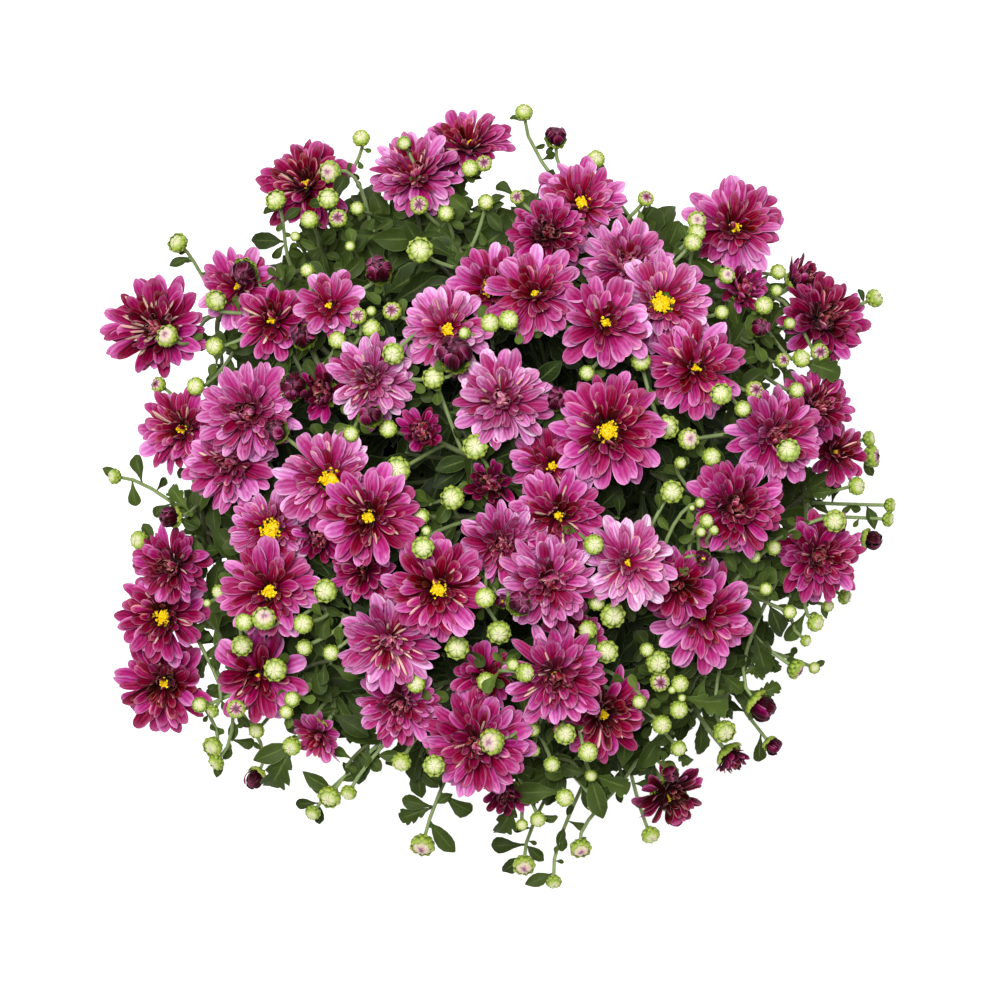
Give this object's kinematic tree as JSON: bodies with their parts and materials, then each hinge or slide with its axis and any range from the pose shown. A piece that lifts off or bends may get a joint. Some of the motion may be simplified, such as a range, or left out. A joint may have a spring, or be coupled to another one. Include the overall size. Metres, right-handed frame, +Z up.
{
  "type": "pot chrysanthemum",
  "caption": "Pot chrysanthemum in full bloom: a low dome of double magenta flower heads, buds and leaves on branching stems in a plain round grower pot.",
  "frame": {"origin": "centre of the pot's flat base, on the surface it stands on", "axes": "+Z up through the plant; +Y towards the top of the plan view and +X to its right"},
  "size_m": [0.3717, 0.3691, 0.3584],
  "materials": {
    "pot_plastic": "matte moulded",
    "potting_mix": "moist crumbly peat",
    "stem_green": "ribbed, downy",
    "leaf_green": "matte with pale veins",
    "petal_magenta": "soft satin, grooved",
    "disc_yellow": "pollen-dusted",
    "bud_green": "waxy scales"
  },
  "bodies": {
    "root": {"pot": "pot_plastic", "potting_mix": "potting_mix", "cutting_1": "stem_green", "cutting_2": "stem_green", "cutting_3": "stem_green", "cutting_4": "stem_green", "cutting_5": "stem_green", "cutting_6": "stem_green", "flower_head_01": "petal_magenta", "flower_head_02": "petal_magenta", "flower_head_03": "petal_magenta", "flower_head_04": "petal_magenta", "flower_head_05": "petal_magenta", "flower_head_06": "petal_magenta", "flower_head_07": "petal_magenta", "flower_head_08": "petal_magenta", "flower_head_09": "petal_magenta", "flower_head_10": "petal_magenta", "flower_head_11": "petal_magenta", "flower_head_14": "petal_magenta", "flower_head_15": "petal_magenta", "flower_head_16": "petal_magenta", "flower_head_17": "petal_magenta", "flower_head_18": "petal_magenta", "flower_head_19": "petal_magenta", "flower_head_20": "petal_magenta", "flower_head_21": "petal_magenta", "flower_head_22": "petal_magenta", "flower_head_23": "petal_magenta", "flower_head_24": "petal_magenta", "flower_head_25": "petal_magenta", "flower_head_26": "petal_magenta", "flower_head_27": "petal_magenta", "flower_head_28": "petal_magenta", "flower_head_30": "petal_magenta", "flower_head_31": "petal_magenta", "flower_head_32": "petal_magenta", "flower_head_33": "petal_magenta", "flower_head_34": "petal_magenta", "flower_head_35": "petal_magenta", "flower_head_36": "petal_magenta", "flower_head_37": "petal_magenta", "flower_head_38": "petal_magenta", "flower_head_39": "petal_magenta", "flower_head_40": "petal_magenta", "flower_head_41": "petal_magenta", "flower_head_42": "petal_magenta", "flower_head_43": "petal_magenta", "flower_head_44": "petal_magenta", "flower_head_45": "petal_magenta", "flower_head_46": "petal_magenta", "flower_head_47": "petal_magenta", "flower_head_48": "petal_magenta", "flower_head_51": "petal_magenta", "flower_head_52": "petal_magenta", "flower_head_53": "petal_magenta", "flower_head_54": "petal_magenta", "flower_head_55": "petal_magenta", "flower_head_56": "petal_magenta", "flower_head_57": "petal_magenta"}
  },
  "joints": []
}
